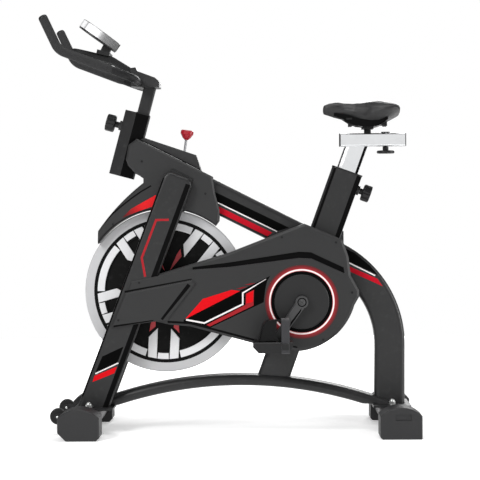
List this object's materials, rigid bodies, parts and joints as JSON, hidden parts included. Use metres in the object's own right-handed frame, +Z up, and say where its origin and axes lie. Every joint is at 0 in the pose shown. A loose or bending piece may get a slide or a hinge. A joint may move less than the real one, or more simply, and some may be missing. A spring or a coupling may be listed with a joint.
{
  "type": "exercise bike",
  "caption": "Indoor exercise bike with a tube frame, a heavy spoked flywheel, belt drive, friction brake, toe-clip pedals, sliding saddle and handlebar, and a round console.",
  "frame": {"origin": "on the floor under the middle of the bike's bounding box", "axes": "+Z up; the handlebar end is at -X and the saddle end at +X; the rider's left hand, with the crank cover, is at -Y"},
  "size_m": [1.056, 0.5, 1.1906],
  "materials": {
    "frame_paint": "satin",
    "black_plastic": "satin",
    "black_steel": "semi-gloss",
    "chrome": "polished",
    "machined_steel": "turned",
    "iron": "machined rim, painted web",
    "black_rubber": "matte",
    "foam": "matte foam",
    "felt": "felt",
    "red_plastic": "glossy",
    "saddle_cover": "synthetic leather",
    "silver_plastic": "satin silver",
    "screen": "glossy"
  },
  "bodies": {
    "frame": {"stabilizers": "frame_paint", "front_feet": "black_plastic", "rear_feet": "black_plastic", "frame_bolts": "machined_steel", "frame_brackets": "frame_paint", "wheel_axles": "machined_steel", "head_tube": "frame_paint", "post_sleeves": "black_plastic", "main_beam": "frame_paint", "seat_tube": "frame_paint", "base_beam": "frame_paint", "fork_blade_left": "frame_paint", "fork_blade_right": "frame_paint", "bottom_bracket": "machined_steel", "cowl_left": "black_plastic", "cowl_right": "black_plastic", "brake_cover": "black_plastic", "chain_cover": "black_plastic", "chain_cover_back": "black_plastic", "crank_disc": "black_plastic", "cover_screws": "black_steel", "flywheel_axle": "machined_steel", "drive_belt": "black_rubber"},
    "flywheel": {"flywheel": "iron", "flywheel_pulley": "machined_steel"},
    "crank": {"crank_axle": "machined_steel", "crank_pulley": "black_plastic", "crank_arm_left": "black_steel", "crank_arm_right": "black_steel"},
    "pedal_left": {"pedal_left": "black_plastic", "toe_clip_left": "black_plastic"},
    "pedal_right": {"pedal_right": "black_plastic", "toe_clip_right": "black_plastic"},
    "wheel_left": {"transport_wheel_left": "black_rubber"},
    "wheel_right": {"transport_wheel_right": "black_rubber"},
    "seat_post": {"seat_post": "chrome", "seat_slide_tube": "chrome", "slide_end_caps": "black_plastic"},
    "saddle": {"saddle_carriage": "black_steel", "saddle_base": "black_plastic", "saddle_pad": "saddle_cover"},
    "saddle_knob": {"saddle_knob": "black_plastic"},
    "seat_pin": {"seat_pin": "machined_steel"},
    "seat_knob": {"seat_knob": "black_plastic"},
    "handlebar": {"handlebar_post": "frame_paint", "stem_head": "frame_paint", "outer_bar": "black_steel", "inner_loop": "black_steel", "grips": "foam", "console_back": "black_plastic", "console_rim": "silver_plastic", "console_face": "screen"},
    "console_button": {"console_button": "silver_plastic"},
    "head_pin": {"head_pin": "machined_steel"},
    "head_knob": {"head_knob": "black_plastic"},
    "brake": {"brake_rod": "machined_steel", "brake_pad": "felt", "brake_spring": "machined_steel"},
    "brake_knob": {"brake_knob": "red_plastic"}
  },
  "joints": [
    {"name": "flywheel_spin", "type": "hinge", "parent": "frame", "child": "flywheel", "pos_m": [-0.1895, 0, 0.403], "axis": [0, 1, 0], "continuous": true},
    {"name": "crank_spin", "type": "hinge", "parent": "frame", "child": "crank", "pos_m": [0.2016, 0, 0.3723], "axis": [0, 1, 0], "continuous": true},
    {"name": "pedal_left_spin", "type": "hinge", "parent": "crank", "child": "pedal_left", "pos_m": [0.11792, -0.158, 0.25144], "axis": [0, 1, 0], "continuous": true},
    {"name": "pedal_right_spin", "type": "hinge", "parent": "crank", "child": "pedal_right", "pos_m": [0.28528, 0.158, 0.49316], "axis": [0, 1, 0], "continuous": true},
    {"name": "transport_wheel_left_spin", "type": "hinge", "parent": "frame", "child": "wheel_left", "pos_m": [-0.494, -0.11, 0.053], "axis": [0, 1, 0], "continuous": true},
    {"name": "transport_wheel_right_spin", "type": "hinge", "parent": "frame", "child": "wheel_right", "pos_m": [-0.494, 0.11, 0.053], "axis": [0, 1, 0], "continuous": true},
    {"name": "seat_post_slide", "type": "slide", "parent": "frame", "child": "seat_post", "axis": [0.3437, 0, 0.9391], "range_m": [-0.025, 0.09]},
    {"name": "saddle_slide", "type": "slide", "parent": "seat_post", "child": "saddle", "axis": [1, 0, 0], "range_m": [-0.03, 0.03]},
    {"name": "saddle_knob_turn", "type": "hinge", "parent": "saddle", "child": "saddle_knob", "pos_m": [0.4492, 0, 0.81], "axis": [0, 0, 1], "range_deg": [-360, 360]},
    {"name": "seat_pin_pull", "type": "slide", "parent": "frame", "child": "seat_pin", "axis": [0.9391, 0, -0.3437], "range_m": [0, 0.009], "stiffness_N_per_m": 400, "springref_m": -0.01},
    {"name": "seat_knob_turn", "type": "hinge", "parent": "seat_pin", "child": "seat_knob", "pos_m": [0.32322, 0, 0.70611], "axis": [0.9391, 0, -0.3437], "range_deg": [-360, 360]},
    {"name": "handlebar_slide", "type": "slide", "parent": "frame", "child": "handlebar", "axis": [0.2622, 0, 0.965], "range_m": [-0.035, 0.085]},
    {"name": "console_button_press", "type": "slide", "parent": "handlebar", "child": "console_button", "axis": [-0.585, 0, -0.8111], "range_m": [0, 0.0015], "stiffness_N_per_m": 400, "springref_m": -0.001},
    {"name": "head_pin_pull", "type": "slide", "parent": "frame", "child": "head_pin", "axis": [-0.965, 0, 0.2622], "range_m": [0, 0.009], "stiffness_N_per_m": 400, "springref_m": -0.01},
    {"name": "head_knob_turn", "type": "hinge", "parent": "head_pin", "child": "head_knob", "pos_m": [-0.27958, 0, 0.87238], "axis": [-0.965, 0, 0.2622], "range_deg": [-360, 360]},
    {"name": "brake_press", "type": "slide", "parent": "frame", "child": "brake", "axis": [-0.1392, 0, -0.9903], "range_m": [0, 0.0047], "stiffness_N_per_m": 1500, "springref_m": -0.01, "deforming": ["brake_spring"]},
    {"name": "brake_knob_turn", "type": "hinge", "parent": "brake", "child": "brake_knob", "pos_m": [-0.12812, 0, 0.83971], "axis": [0.1392, 0, 0.9903], "range_deg": [-360, 360]}
  ],
  "couplings": [
    {"joint": "crank_spin", "follows": "flywheel_spin", "ratio": 0.33333}
  ]
}
